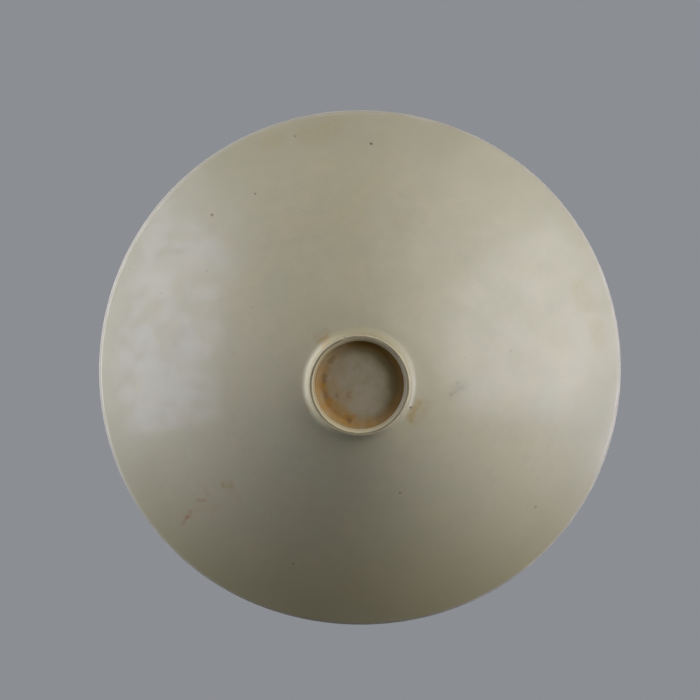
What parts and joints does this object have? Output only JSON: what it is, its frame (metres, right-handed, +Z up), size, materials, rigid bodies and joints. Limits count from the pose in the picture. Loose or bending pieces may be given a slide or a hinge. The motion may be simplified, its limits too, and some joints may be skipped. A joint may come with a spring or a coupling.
{
  "type": "conical bowl",
  "caption": "Shallow conical porcelain bowl: thin straight-flared wall with a bare rounded lip, flat well, ivory glaze, and a small turned foot ring around a recess, for serving or display.",
  "frame": {"origin": "centre of the resting face of the foot ring, on the axis that the bowl was thrown on", "axes": "+Z up along the bowl's axis, from the foot to the open mouth; +X and +Y across it, where the bowl is alike all round"},
  "size_m": [0.2, 0.2, 0.052],
  "materials": {
    "fired_clay": "matte fired porcelain clay, bare at the lip and at the resting face of the foot",
    "ivory_glaze": "satin ivory glaze with faint mottling, fine pits and a few iron specks",
    "stained_glaze": "thin ivory glaze with orange-brown iron stain in the corner of the recess"
  },
  "bodies": {
    "root": {"bowl_wall": "fired_clay", "foot_ring": "fired_clay", "inside_glaze": "ivory_glaze", "outside_glaze": "ivory_glaze", "recess_glaze": "stained_glaze"}
  },
  "joints": []
}
